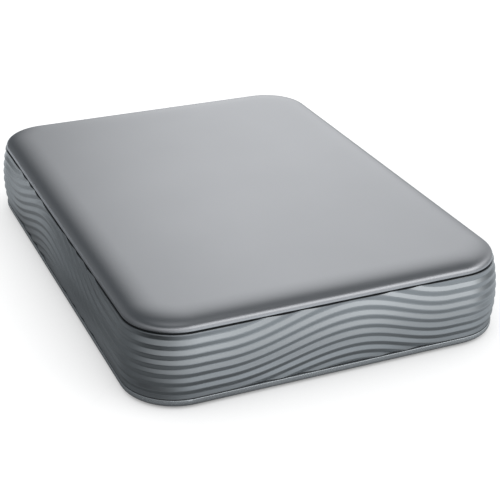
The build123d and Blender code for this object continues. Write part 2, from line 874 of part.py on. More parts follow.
def pivot_sleeve():
    bottom = arm_levels[0] - arm_thickness / 2
    top = arm_levels[-1] + arm_thickness / 2
    return tube(bearing_radius, post_shaft + running_clear, bottom, top, pivot_offset, pivot_y)


def on_actuator(shape):
    # Turns a shape that is drawn with its arm along +X to the parked actuator.
    return Pos(pivot_offset, pivot_y) * Rot(0, 0, arm_angle) * shape


def tapered_strip(start, root, end, tip):
    # Plan of an arm or spring along +X that narrows from its root to its tip.
    corners = [(start, root / 2), (start, -root / 2), (end, -tip / 2), (end, tip / 2)]
    return Polygon(*corners, align=None)


def actuator_block():
    # Hub with one tapered arm between each pair of platters, and two prongs that hold the coil.
    arm = tapered_strip(0, arm_root, arm_reach, arm_tip)
    block = rod(block_radius, arm_levels[0] - arm_thickness / 2, arm_levels[-1] + arm_thickness / 2)
    for level in arm_levels:
        block += plate(arm, level - arm_thickness / 2, level + arm_thickness / 2)
    for side in (-1, 1):
        middle = 180 + side * (coil_half_angle + prong_angle / 2 + press_clear)
        prong = sector(bearing_radius, coil_outer + free_clear, middle, prong_angle / 2)
        block += plate(prong, coil_level - coil_thickness / 2, coil_level + coil_thickness / 2)
    return on_actuator(block - rod(bearing_radius + press_clear, drive_base_level, drive_top))


def head_suspensions():
    # Spring strips on the arms' faces, each with a slider that flies over its platter's face.
    start = arm_reach - suspension_overlap
    end = head_reach + lift_tab
    strip = tapered_strip(start, suspension_root, end, suspension_tip)
    slider = Pos(head_reach, 0) * Rectangle(slider_length, slider_width)
    solids = []
    for index, level in enumerate(arm_levels):
        for way in (-1, 1):
            if 0 <= index + (way - 1) / 2 < platter_count:
                face = level + way * arm_thickness / 2
                back = face + way * suspension_thickness
                tip = back + way * slider_height
                spring = plate(strip, min(face, back), max(face, back))
                spring += plate(slider, min(back, tip), max(back, tip))
                solids.append(on_actuator(spring).solid())
    return Compound(solids)


def voice_coil():
    middle_radius = (coil_inner + coil_outer) / 2
    window_half_angle = coil_half_angle - math.degrees(coil_wire / middle_radius)
    plan = sector(coil_inner, coil_outer, 180, coil_half_angle)
    plan -= sector(coil_inner + coil_wire, coil_outer - coil_wire, 180, window_half_angle)
    return on_actuator(plate(plan, coil_level - coil_thickness / 2, coil_level + coil_thickness / 2))


def voice_magnet_piece(way):
    face = coil_level + way * (coil_thickness / 2 + magnet_gap)
    back = face + way * voice_magnet
    plan = sector(coil_inner - seat_clear, coil_outer + seat_clear, magnet_angle, magnet_half_angle)
    return plate(plan, min(face, back), max(face, back), pivot_offset, pivot_y)


def yoke(way):
    # Steel plate behind a magnet. The upper one stands on two posts.
    face = coil_level + way * (coil_thickness / 2 + magnet_gap + voice_magnet)
    back = face + way * yoke_thickness
    plan = sector(yoke_inner, yoke_outer, magnet_angle, magnet_half_angle)
    piece = plate(plan, min(face, back), max(face, back), pivot_offset, pivot_y)
    if way > 0:
        foot_level = 2 * coil_level - face
        reach = yoke_outer - yoke_post - seat_clear
        for side in (-1, 1):
            inset = math.degrees(2 * yoke_post / reach)
            angle = math.radians(magnet_angle + side * (magnet_half_angle - inset))
            x = pivot_offset + reach * math.cos(angle)
            piece += rod(yoke_post, foot_level, face, x, pivot_y + reach * math.sin(angle))
    return piece


def load_ramp():
    # Comb beyond the platters' edge that the parked suspensions rest on.
    inner = head_reach + lift_tab + free_clear
    middle = ramp_lead - ramp_angle / 2
    back = sector(inner, inner + ramp_depth, middle, ramp_angle / 2)
    comb = plate(back, chamber_floor, arm_levels[-1] + ramp_finger)
    finger = sector(inner - lift_tab, inner + seat_clear, middle, ramp_angle / 2)
    for level in arm_levels:
        comb += plate(finger, level - ramp_finger / 2, level + ramp_finger / 2)
    return on_actuator(comb)


def air_filter():
    x = chamber_wall + seat_clear + filter_width / 2 - drive_width / 2
    y = drive_front + filter_at
    return slab(filter_width, filter_length, chamber_floor, chamber_floor + filter_height, 0, x, y)


def build_case():
    pieces = {
        "top_cover": top_cover(),
        "cover_tape_left": cover_tape(-1),
        "cover_tape_right": cover_tape(1),
        "wave_band": wave_band(),
        "base_tray": base_tray(),
        "insulating_sheet": insulating_sheet(),
        "foam_pad_front": foam_pad(-1),
        "foam_pad_rear": foam_pad(1),
    }
    corners = ("front_left", "front_right", "rear_left", "rear_right")
    for name, (x, y) in zip(corners, foot_sites()):
        pieces["foot_" + name] = foot(x, y)
        pieces["bumper_" + name] = bumper(math.copysign(1, x), math.copysign(1, y))
    return pieces


def build_bridge():
    return {
        "bridge_board": bridge_board(),
        "bridge_screws": bridge_screws(),
        "bridge_chip": bridge_chip(),
        "clock_crystal": clock_crystal(),
        "activity_led": activity_led(),
        "light_pipe": light_pipe(),
        "usb_shell": usb_shell(),
        "usb_tongue": usb_tongue(),
        "sata_socket": sata_socket(),
    }


def build_drive():
    return {
        "drive_base": drive_base(),
        "lid_gasket": lid_gasket(),
        "drive_lid": drive_lid(),
        "lid_screws": lid_screws(),
        "controller_board": controller_board(),
        "board_screws": board_screws(),
        "sata_plug": sata_plug(),
        "controller_chip": control_part(control_chip_size, control_chip_size, 0, control_y),
        "memory_chip": control_part(memory_width, memory_length, chip_spread, control_y + chip_spread),
        "motor_chip": control_part(motor_chip_size, motor_chip_size, -chip_spread, control_y - chip_spread),
        "air_filter": air_filter(),
        "load_ramp": load_ramp(),
    }


def build_spindle():
    pieces = {
        "bearing_sleeve": bearing_sleeve(),
        "stator": stator(),
        "rotor_magnet": rotor_magnet(),
        "spindle_hub": spindle_hub(),
        "spindle_shaft": spindle_shaft(),
        "disk_clamp": disk_clamp(),
        "clamp_screw": clamp_screw(),
    }
    for index in range(platter_count):
        pieces[f"platter_{index + 1}"] = platter(index)
    for index in range(platter_count - 1):
        pieces[f"spacer_{index + 1}"] = spacer(index)
    return pieces


def build_actuator():
    return {
        "pivot_post": pivot_post(),
        "pivot_sleeve": pivot_sleeve(),
        "actuator_block": actuator_block(),
        "head_suspensions": head_suspensions(),
        "voice_coil": voice_coil(),
        "lower_yoke": yoke(-1),
        "lower_magnet": voice_magnet_piece(-1),
        "upper_yoke": yoke(1),
        "upper_magnet": voice_magnet_piece(1),
    }


os.makedirs("parts", exist_ok=True)
all_pieces = build_case() | build_bridge() | build_drive() | build_spindle() | build_actuator()
for name, piece in all_pieces.items():
    export_step(piece, f"parts/{name}.step")
print(f"{len(all_pieces)} pieces, case {2 * (edge_half_x + band_bulge):.2f} x", end=" ")
print(f"{2 * (edge_half_y + band_bulge):.2f} x {case_height:.2f}, drive height {drive_height:.2f}")
print(f"spindle y {spindle_y:.3f}, pivot {pivot_offset:.3f} {pivot_y:.3f}, arm angle {arm_angle:.2f}")
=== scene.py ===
import json
import math
import bmesh
import bpy
from mathutils import Matrix, Vector


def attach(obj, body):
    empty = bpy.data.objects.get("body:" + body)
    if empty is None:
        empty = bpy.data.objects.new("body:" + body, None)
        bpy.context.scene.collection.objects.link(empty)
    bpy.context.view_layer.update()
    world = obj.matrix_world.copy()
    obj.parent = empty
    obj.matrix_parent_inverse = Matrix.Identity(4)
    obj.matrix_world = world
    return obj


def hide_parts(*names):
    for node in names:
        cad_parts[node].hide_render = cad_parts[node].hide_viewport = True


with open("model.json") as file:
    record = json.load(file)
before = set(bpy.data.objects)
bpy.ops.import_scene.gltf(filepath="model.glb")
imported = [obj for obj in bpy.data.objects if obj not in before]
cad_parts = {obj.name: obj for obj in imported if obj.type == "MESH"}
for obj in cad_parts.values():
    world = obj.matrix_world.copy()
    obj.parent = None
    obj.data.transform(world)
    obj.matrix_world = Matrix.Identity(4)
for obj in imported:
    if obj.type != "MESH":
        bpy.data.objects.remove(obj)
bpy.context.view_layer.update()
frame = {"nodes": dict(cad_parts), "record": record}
scene = bpy.context.scene
nodes = frame["nodes"]
mm = 0.001
print("frame loaded,", len(nodes), "nodes")

# camera

photoCamera = {
    "lens": 92.5,
    "sensor": 36.0,
    "turn": 23.458,  # degrees to the left of the front
    "drop": 26.602,  # degrees looking down
    "roll": -0.442,
    "target": (-0.525 * mm, -14.79 * mm, 8.984 * mm),
    "distance": 302.3 * mm,
    "clipStart": 10 * mm,
}


def placeCamera(s):
    turn, drop, roll = (math.radians(s[k]) for k in ("turn", "drop", "roll"))
    level = math.cos(drop)
    ahead = Vector((math.sin(turn) * level, math.cos(turn) * level, -math.sin(drop)))
    right = Vector((math.cos(turn), -math.sin(turn), 0.0))
    down = ahead.cross(right)
    right, down = (
        math.cos(roll) * right + math.sin(roll) * down,
        math.cos(roll) * down - math.sin(roll) * right,
    )
    data = bpy.data.cameras.new("photoCamera")
    data.lens = s["lens"]
    data.sensor_width = s["sensor"]
    data.clip_start = s["clipStart"]
    camera = bpy.data.objects.new("photoCamera", data)
    scene.collection.objects.link(camera)
    axes = Matrix((right, -down, -ahead)).transposed().to_4x4()
    camera.matrix_world = Matrix.Translation(Vector(s["target"]) - ahead * s["distance"]) @ axes
    scene.camera = camera


placeCamera(photoCamera)
print("camera placed")

# studio: pale floor, a sky with soft lights behind, in front and above, one soft box

studio = {
    "floorSize": 40.0,
    "floorGrey": 0.45,
    "floorTint": (0.95, 1.0, 1.04, 1.0),  # in reflections
    "plainTint": (1.0, 1.0, 1.0, 1.0),  # to the camera
    "floorGlow": (1.2, 1.0),  # in reflections, to the camera; the shadow stays
    "shadowReach": 0.09,
    "shadowDepth": (2.6, 0.65),  # in reflections, to the camera
    "dimFloor": [  # middle, reach, full, least: parts of the floor that stay dim in reflections, painted shade seen only in reflections
        ((-0.075, -0.08, 0.0), 0.025, 0.065, 0.02),
        ((-0.095, 0.0, 0.0), 0.03, 0.075, 0.16),
        ((-0.075, 0.075, 0.0), 0.02, 0.06, 0.5),
        ((0.0, 0.0, 0.0), 0.4, 0.12, 0.4),
    ],
    "dimSides": [(-0.06, -0.16, 0.3), (0.0, 0.12, 0.58)],  # the same painted shade, far to the left and right
    "brightSide": (0.999, -0.035, 0.0),
    "sideStops": [  # from the left to the right, behind the object
        (0.0, 0.09), (0.1, 0.12), (0.3, 0.1), (0.44, 0.04), (0.5, 0.015), (0.557, 0.14),
        (0.605, 0.61), (0.6325, 1.0), (0.6525, 1.13), (0.6725, 1.06), (0.7, 0.95),
        (0.725, 0.95), (0.76, 0.86), (0.8, 0.52), (0.85, 0.38), (1.0, 0.42),
    ],
    "frontStops": [  # from the left to the right, before the object
        (0.0, 0.15), (0.035, 0.3), (0.1, 0.45), (0.205, 0.62), (0.345, 0.8), (0.5, 1.03),
        (0.65, 1.2), (0.75, 1.7), (0.85, 1.75), (0.955, 0.75), (1.0, 0.38),
    ],
    "frontRise": [  # from the horizon upwards, before the object
        (0.0, 0.38), (0.15, 0.66), (0.38, 1.07), (0.54, 1.08),
        (0.64, 0.54), (0.72, 0.1), (0.82, 0.0), (1.0, 0.0),
    ],
    "frontLean": (0.25, 0.1),  # the light hangs lower to the left of here
    "frontEdge": (0.3, 0.0),  # where the light before the object starts and is full
    "dimSky": (0.097, 0.109, 0.118),
    "skyStops": [  # from the horizon upwards, behind the object
        (0.0, 1.1), (0.31, 1.3), (0.41, 1.3), (0.5, 1.17),
        (0.59, 0.77), (0.69, 0.31), (0.8, 0.06), (1.0, 0.0),
    ],
    "topStops": [(0.0, 0.0), (0.88, 0.0), (0.955, 0.2), (0.985, 0.36), (1.0, 0.38)],  # straight above
    "keyBox": {"at": (0.25, -0.81, 0.60), "size": (1.35, 0.5), "watts": 0.25},
}


def linkMath(tree, operation, a, b=0.0):
    node = tree.nodes.new("ShaderNodeMath")
    node.operation = operation
    for socket, value in zip(node.inputs, (a, b)):
        if isinstance(value, (int, float)):
            socket.default_value = value
        else:
            tree.links.new(value, socket)
    return node.outputs[0]


def productOf(tree, first, *others):
    for other in others:
        first = linkMath(tree, "MULTIPLY", first, other)
    return first


def dotWith(tree, vector, way):
    node = tree.nodes.new("ShaderNodeVectorMath")
    node.operation = "DOT_PRODUCT"
    node.inputs[1].default_value = way
    tree.links.new(vector, node.inputs[0])
    return node.outputs["Value"]


def rampOf(tree, value, levels):
    ramp = tree.nodes.new("ShaderNodeValToRGB")
    stops = ramp.color_ramp.elements
    while len(stops) < len(levels):
        stops.new(0.5)
    for stop, (place, grey) in zip(stops, levels):
        stop.position = place
        stop.color = (grey, grey, grey, 1)
    tree.links.new(value, ramp.inputs["Fac"])
    return ramp.outputs["Color"]


def rangeOf(tree, value, start, end, low, high):
    node = tree.nodes.new("ShaderNodeMapRange")
    labels = ("From Min", "From Max", "To Min", "To Max")
    for label, number in zip(labels, (start, end, low, high)):
        node.inputs[label].default_value = number
    tree.links.new(value, node.inputs["Value"])
    return node


def buildFloor(s):
    mesh = bpy.data.meshes.new("floor")
    bm = bmesh.new()
    bmesh.ops.create_grid(bm, x_segments=1, y_segments=1, size=s["floorSize"] / 2)
    bm.to_mesh(mesh)
    bm.free()
    floor = bpy.data.objects.new("floor", mesh)
    scene.collection.objects.link(floor)
    material = bpy.data.materials.new("paleFloor")
    material.use_nodes = True
    tree = material.node_tree
    tree.nodes.clear()
    rays = tree.nodes.new("ShaderNodeLightPath")
    direct, mirror = rays.outputs["Is Camera Ray"], rays.outputs["Is Glossy Ray"]
    seen = linkMath(tree, "MAXIMUM", direct, mirror)
    seen = linkMath(tree, "MAXIMUM", seen, rays.outputs["Is Transmission Ray"])
    shadow = tree.nodes.new("ShaderNodeAmbientOcclusion")
    shadow.inputs["Distance"].default_value = s["shadowReach"]
    power, level = (
        linkMath(tree, "ADD", productOf(tree, direct, shown - mirrored), mirrored)
        for mirrored, shown in (s["shadowDepth"], s["floorGlow"])
    )
    lit = linkMath(tree, "POWER", shadow.outputs["AO"], power)
    where = tree.nodes.new("ShaderNodeTexCoord")
    # painted shade: the floor's glow is darkened in these patches and towards the sides, for reflections
    # only
    for middle, reach, full, least in s["dimFloor"]:
        away = tree.nodes.new("ShaderNodeVectorMath")
        away.operation = "DISTANCE"
        away.inputs[1].default_value = middle
        tree.links.new(where.outputs["Object"], away.inputs[0])
        part = rangeOf(tree, away.outputs["Value"], reach, full, least, 1.0)
        lit = productOf(tree, lit, linkMath(tree, "MAXIMUM", part.outputs["Result"], direct))
    across = dotWith(tree, where.outputs["Object"], (1, 0, 0))
    for start, end, least in s["dimSides"]:
        part = rangeOf(tree, across, start, end, 1.0, least)
        lit = productOf(tree, lit, linkMath(tree, "MAXIMUM", part.outputs["Result"], direct))
    glow = tree.nodes.new("ShaderNodeEmission")
    tint = tree.nodes.new("ShaderNodeMix")
    tint.data_type = "RGBA"
    tint.inputs["A"].default_value = s["floorTint"]
    tint.inputs["B"].default_value = s["plainTint"]
    tree.links.new(direct, tint.inputs["Factor"])
    tree.links.new(tint.outputs["Result"], glow.inputs["Color"])
    tree.links.new(productOf(tree, seen, lit, level), glow.inputs["Strength"])
    matt = tree.nodes.new("ShaderNodeBsdfDiffuse")
    plain = linkMath(tree, "SUBTRACT", 1.0, mirror)
    tree.links.new(productOf(tree, plain, s["floorGrey"]), matt.inputs["Color"])
    both = tree.nodes.new("ShaderNodeAddShader")
    tree.links.new(matt.outputs[0], both.inputs[0])
    tree.links.new(glow.outputs[0], both.inputs[1])
    out = tree.nodes.new("ShaderNodeOutputMaterial")
    tree.links.new(both.outputs[0], out.inputs["Surface"])
    mesh.materials.append(material)


def buildSky(s):
    world = bpy.data.worlds.new("studio")
    scene.world = world
    world.use_nodes = True
    tree = world.node_tree
    tree.nodes.clear()
    way = tree.nodes.new("ShaderNodeTexCoord")
    up = dotWith(tree, way.outputs["Generated"], (0, 0, 1))
    side = dotWith(tree, way.outputs["Generated"], s["brightSide"])
    across = productOf(tree, linkMath(tree, "ADD", side, 1.0), 0.5)  # 0 left, 1 right
    depth = dotWith(tree, way.outputs["Generated"], (0, 1, 0))
    front = rangeOf(tree, depth, *s["frontEdge"], 0.0, 1.0)
    front.interpolation_type = "SMOOTHSTEP"
    share = front.outputs["Result"]
    start, lean = s["frontLean"]
    left = linkMath(tree, "MAXIMUM", linkMath(tree, "SUBTRACT", start, side), 0.0)
    rise = rampOf(tree, linkMath(tree, "ADD", up, productOf(tree, left, lean)), s["frontRise"])
    before = productOf(tree, rise, rampOf(tree, across, s["frontStops"]), share)
    behind = productOf(tree, rampOf(tree, up, s["skyStops"]), rampOf(tree, across, s["sideStops"]))
    behind = productOf(tree, behind, linkMath(tree, "SUBTRACT", 1.0, share))
    level = linkMath(tree, "ADD", before, behind)
    level = linkMath(tree, "ADD", level, rampOf(tree, up, s["topStops"]))
    bright = tree.nodes.new("ShaderNodeBackground")
    bright.inputs["Color"].default_value = (1, 1, 1, 1)
    tree.links.new(level, bright.inputs["Strength"])
    dim = tree.nodes.new("ShaderNodeBackground")
    dim.inputs["Color"].default_value = (*s["dimSky"], 1)
    sky = tree.nodes.new("ShaderNodeAddShader")
    tree.links.new(bright.outputs[0], sky.inputs[0])
    tree.links.new(dim.outputs[0], sky.inputs[1])
    out = tree.nodes.new("ShaderNodeOutputWorld")
    tree.links.new(sky.outputs[0], out.inputs["Surface"])


def buildBox(name, s):
    data = bpy.data.lights.new(name, "AREA")
    data.shape = "RECTANGLE"
    data.size, data.size_y = s["size"]
    data.energy = s["watts"]
    lamp = bpy.data.objects.new(name, data)
    lamp.location = s["at"]
    lamp.rotation_euler = (-Vector(s["at"])).to_track_quat("-Z", "Y").to_euler()
    scene.collection.objects.link(lamp)


scene.view_settings.view_transform = "Standard"
buildFloor(studio)
buildSky(studio)
buildBox("keyBox", studio["keyBox"])
print("studio built")

# shared surface effects

effects = {
    "fineDetail": 2.0,
    "broadDetail": 3.0,
    "fineShare": 0.6,
    "broadShare": 0.4,
    "brushDetail": 3.0,
    "weaveDepth": 0.3,
    "poreSize": 1.4,
    "traceRun": 7.3,  # millimetres
    "traceWidth": 0.07,
    "traceSoft": 0.3,
    "padSize": 0.14,
    "contactFlat": 0.7,  # contacts only on faces that point up or down
}


def newGroup(name, inputs, outputs):
    tree = bpy.data.node_groups.new(name, "ShaderNodeTree")
    for label, kind, value in inputs:
        socket = tree.interface.new_socket(label, in_out="INPUT", socket_type="NodeSocket" + kind)
        socket.default_value = value
    for label, kind in outputs:
        tree.interface.new_socket(label, in_out="OUTPUT", socket_type="NodeSocket" + kind)
    return tree, tree.nodes.new("NodeGroupInput"), tree.nodes.new("NodeGroupOutput")


def objectSpot(tree):
    where = tree.nodes.new("ShaderNodeTexCoord")
    sized = tree.nodes.new("ShaderNodeVectorMath")
    sized.operation = "SCALE"
    sized.inputs["Scale"].default_value = 1 / mm  # millimetres
    tree.links.new(where.outputs["Object"], sized.inputs[0])
    return sized.outputs[0]


def noiseAt(tree, spot, scale, detail):
    node = tree.nodes.new("ShaderNodeTexNoise")
    node.inputs["Detail"].default_value = detail
    tree.links.new(spot, node.inputs["Vector"])
    tree.links.new(scale, node.inputs["Scale"])
    return node.outputs["Fac"]


def buildGrain(s):
    tree, given, result = newGroup(
        "surfaceGrain",
        [
            ("Colour", "Color", (0.5, 0.5, 0.5, 1)),
            ("Shade", "Color", (0.4, 0.4, 0.4, 1)),
            ("Grain", "Float", 6.0),
            ("Cloud", "Float", 0.05),
            ("Roughness", "Float", 0.4),
            ("Spread", "Float", 0.1),
        ],
        [("Colour", "Color"), ("Roughness", "Float"), ("Height", "Float")],
    )
    spot = objectSpot(tree)
    fine = noiseAt(tree, spot, given.outputs["Grain"], s["fineDetail"])
    broad = noiseAt(tree, spot, given.outputs["Cloud"], s["broadDetail"])
    finePart, broadPart = productOf(tree, fine, s["fineShare"]), productOf(tree, broad, s["broadShare"])
    share = linkMath(tree, "ADD", finePart, broadPart)
    mix = tree.nodes.new("ShaderNodeMix")
    mix.data_type = "RGBA"
    tree.links.new(share, mix.inputs["Factor"])
    tree.links.new(given.outputs["Colour"], mix.inputs["A"])
    tree.links.new(given.outputs["Shade"], mix.inputs["B"])
    swing = productOf(tree, linkMath(tree, "SUBTRACT", share, 0.5), given.outputs["Spread"])
    rough = linkMath(tree, "ADD", given.outputs["Roughness"], swing)
    tree.links.new(mix.outputs["Result"], result.inputs["Colour"])
    tree.links.new(rough, result.inputs["Roughness"])
    tree.links.new(fine, result.inputs["Height"])
    return tree


def sineOf(tree, value):
    wave = linkMath(tree, "SINE", value)
    return linkMath(tree, "ADD", productOf(tree, wave, 0.5), 0.5)


def splitSpot(tree, spot):
    parts = tree.nodes.new("ShaderNodeSeparateXYZ")
    tree.links.new(spot, parts.inputs[0])
    return [parts.outputs[axis] for axis in "XYZ"]


def buildRings():
    tree, given, result = newGroup(
        "turnedRings", [("Centre", "Vector", (0, 0, 0)), ("Pitch", "Float", 0.2)], [("Mask", "Float")]
    )
    away = tree.nodes.new("ShaderNodeVectorMath")
    away.operation = "SUBTRACT"
    tree.links.new(objectSpot(tree), away.inputs[0])
    tree.links.new(given.outputs["Centre"], away.inputs[1])
    x, y, _ = splitSpot(tree, away.outputs[0])
    square = linkMath(tree, "ADD", productOf(tree, x, x), productOf(tree, y, y))
    turns = linkMath(tree, "DIVIDE", linkMath(tree, "SQRT", square), given.outputs["Pitch"])
    tree.links.new(sineOf(tree, productOf(tree, turns, math.tau)), result.inputs["Mask"])
    return tree


def buildBrush(s):
    tree, given, result = newGroup(
        "brushLines", [("Stretch", "Vector", (1, 1, 1)), ("Grain", "Float", 6.0)], [("Mask", "Float")]
    )
    drawn = tree.nodes.new("ShaderNodeVectorMath")
    drawn.operation = "MULTIPLY"
    tree.links.new(objectSpot(tree), drawn.inputs[0])
    tree.links.new(given.outputs["Stretch"], drawn.inputs[1])
    mask = noiseAt(tree, drawn.outputs[0], given.outputs["Grain"], s["brushDetail"])
    tree.links.new(mask, result.inputs["Mask"])
    return tree


def buildLayers():
    tree, given, result = newGroup("stackedLayers", [("Pitch", "Float", 0.2)], [("Mask", "Float")])
    level = splitSpot(tree, objectSpot(tree))[2]
    turns = linkMath(tree, "DIVIDE", level, given.outputs["Pitch"])
    tree.links.new(sineOf(tree, productOf(tree, turns, math.tau)), result.inputs["Mask"])
    return tree


def buildWeave(s):
    tree, given, result = newGroup("crossWeave", [("Pitch", "Float", 0.4)], [("Mask", "Float")])
    rate = linkMath(tree, "DIVIDE", math.tau, given.outputs["Pitch"])
    waves = [
        linkMath(tree, "SINE", productOf(tree, axis, rate))
        for axis in splitSpot(tree, objectSpot(tree))
    ]
    pairs = [productOf(tree, waves[i], waves[i - 1]) for i in range(3)]
    total = linkMath(tree, "ADD", linkMath(tree, "ADD", pairs[0], pairs[1]), pairs[2])
    mask = linkMath(tree, "ADD", productOf(tree, total, s["weaveDepth"]), 0.5)
    tree.links.new(mask, result.inputs["Mask"])
    return tree


def buildPores(s):
    tree, given, result = newGroup("openPores", [("Cells", "Float", 2.0)], [("Mask", "Float")])
    cells = tree.nodes.new("ShaderNodeTexVoronoi")
    tree.links.new(objectSpot(tree), cells.inputs["Vector"])
    tree.links.new(given.outputs["Cells"], cells.inputs["Scale"])
    mask = linkMath(tree, "SUBTRACT", 1.0, productOf(tree, cells.outputs["Distance"], s["poreSize"]))
    tree.links.new(mask, result.inputs["Mask"])
    return tree


def buildTraces(s):
    tree, given, result = newGroup(
        "boardTraces", [("Pitch", "Float", 0.9), ("Pads", "Float", 0.45)], [("Mask", "Float")]
    )
    spot = objectSpot(tree)
    lines = tree.nodes.new("ShaderNodeTexBrick")
    lines.inputs["Scale"].default_value = 1.0
    lines.inputs["Brick Width"].default_value = s["traceRun"]
    lines.inputs["Mortar Size"].default_value = s["traceWidth"]
    lines.inputs["Mortar Smooth"].default_value = s["traceSoft"]
    tree.links.new(spot, lines.inputs["Vector"])
    tree.links.new(given.outputs["Pitch"], lines.inputs["Row Height"])
    holes = tree.nodes.new("ShaderNodeTexVoronoi")
    tree.links.new(spot, holes.inputs["Vector"])
    tree.links.new(given.outputs["Pads"], holes.inputs["Scale"])
    pads = linkMath(tree, "LESS_THAN", holes.outputs["Distance"], s["padSize"])
    tree.links.new(linkMath(tree, "MAXIMUM", lines.outputs["Fac"], pads), result.inputs["Mask"])
    return tree


def buildContacts(s):
    tree, given, result = newGroup(
        "contactRows",
        [("Level", "Float", 0.0), ("Reach", "Float", 0.4), ("Pitch", "Float", 0.65)],
        [("Mask", "Float")],
    )
    x, _, z = splitSpot(tree, objectSpot(tree))
    turns = productOf(tree, linkMath(tree, "DIVIDE", x, given.outputs["Pitch"]), math.tau)
    rows = linkMath(tree, "GREATER_THAN", sineOf(tree, turns), 0.5)
    off = linkMath(tree, "ABSOLUTE", linkMath(tree, "SUBTRACT", z, given.outputs["Level"]))
    near = linkMath(tree, "LESS_THAN", off, given.outputs["Reach"])
    skin = tree.nodes.new("ShaderNodeNewGeometry")
    flat = linkMath(tree, "ABSOLUTE", splitSpot(tree, skin.outputs["Normal"])[2])
    flat = linkMath(tree, "GREATER_THAN", flat, s["contactFlat"])
    tree.links.new(productOf(tree, rows, near, flat), result.inputs["Mask"])
    return tree


surfaceGrain = buildGrain(effects)
patterns = {
    "rings": buildRings(),
    "brush": buildBrush(effects),
    "layers": buildLayers(),
    "weave": buildWeave(effects),
    "pores": buildPores(effects),
    "traces": buildTraces(effects),
    "contacts": buildContacts(effects),
}
print("surface effects built")


def placeGroup(tree, group, values):
    node = tree.nodes.new("ShaderNodeGroup")
    node.node_tree = group
    for label, value in values.items():
        node.inputs[label].default_value = value
    return node.outputs


def makeFinish(name, s):
    material = bpy.data.materials.new(name)
    material.use_nodes = True
    tree = material.node_tree
    shader = tree.nodes["Principled BSDF"]
    values = {label: s[label.lower()] for label in ("Grain", "Cloud", "Roughness", "Spread")}
    values["Colour"], values["Shade"] = (*s["colour"], 1), (*s["shade"], 1)
    grain = placeGroup(tree, surfaceGrain, values)
    colour, height = grain["Colour"], grain["Height"]
    for kind, given, tint, lift in s["marks"]:
        mask = placeGroup(tree, patterns[kind], given)["Mask"]
        mix = tree.nodes.new("ShaderNodeMix")
        mix.data_type = "RGBA"
        tree.links.new(mask, mix.inputs["Factor"])
        tree.links.new(colour, mix.inputs["A"])
        mix.inputs["B"].default_value = (*tint, 1)
        colour = mix.outputs["Result"]
        height = linkMath(tree, "ADD", height, productOf(tree, mask, lift))
    shader.inputs["Metallic"].default_value = s["metallic"]
    tree.links.new(colour, shader.inputs["Base Color"])
    tree.links.new(grain["Roughness"], shader.inputs["Roughness"])
    bump = tree.nodes.new("ShaderNodeBump")
    bump.inputs["Strength"].default_value = s["bump"]
    bump.inputs["Distance"].default_value = s["depth"] * mm
    tree.links.new(height, bump.inputs["Height"])
    tree.links.new(bump.outputs["Normal"], shader.inputs["Normal"])
    return material


# grain and cloud are per millimetre, bump depth is in millimetres; a mark is a pattern,
# its values, its colour and its lift
finishParts = ("colour", "shade", "grain", "cloud", "roughness", "spread", "metallic", "bump", "depth")


def look(*given):
    return dict(zip(finishParts, given), marks=given[len(finishParts):])


spindleAt = (0.0, -20.2, 0.0)
pivotAt = (12.0, 18.1, 0.0)
outerFinishes = {
    "cover_metal": look(
        (0.462, 0.469, 0.488), (0.415, 0.422, 0.44), 7.0, 0.03, 0.36, 0.08, 1.0, 0.09, 0.05,
    ),
    "band_plastic": look(
        (0.352, 0.374, 0.39), (0.319, 0.339, 0.353), 9.0, 0.05, 0.30, 0.08, 0.87, 0.05, 0.04,
    ),
    "base_plastic": look(
        (0.58, 0.61, 0.632), (0.53, 0.557, 0.578), 5.0, 0.05, 0.27, 0.05, 0.75, 0.03, 0.05,
    ),
    "foot_rubber": look((0.04, 0.04, 0.04), (0.06, 0.06, 0.06), 4.0, 0.2, 0.8, 0.1, 0.0, 0.3, 0.05),
    "connector_steel": look(
        (0.66, 0.66, 0.67), (0.55, 0.55, 0.56), 5.0, 0.2, 0.3, 0.15, 1.0, 0.15, 0.03,
        ("brush", {"Stretch": (1.0, 0.1, 1.0), "Grain": 9.0}, (0.5, 0.5, 0.5), 0.6),
    ),
    "connector_plastic": look(
        (0.02, 0.02, 0.021), (0.03, 0.03, 0.031), 6.0, 0.3, 0.5, 0.1, 0.0, 0.2, 0.04,
        ("contacts", {"Level": 7.85, "Reach": 0.4, "Pitch": 0.65}, (0.72, 0.5, 0.18), 1.0),
        ("contacts", {"Level": 6.1, "Reach": 0.6, "Pitch": 1.27}, (0.72, 0.5, 0.18), 1.0),
    ),
    "lamp": look((0.86, 0.87, 0.88), (0.78, 0.79, 0.8), 3.0, 0.3, 0.25, 0.1, 0.0, 0.05, 0.03),
}
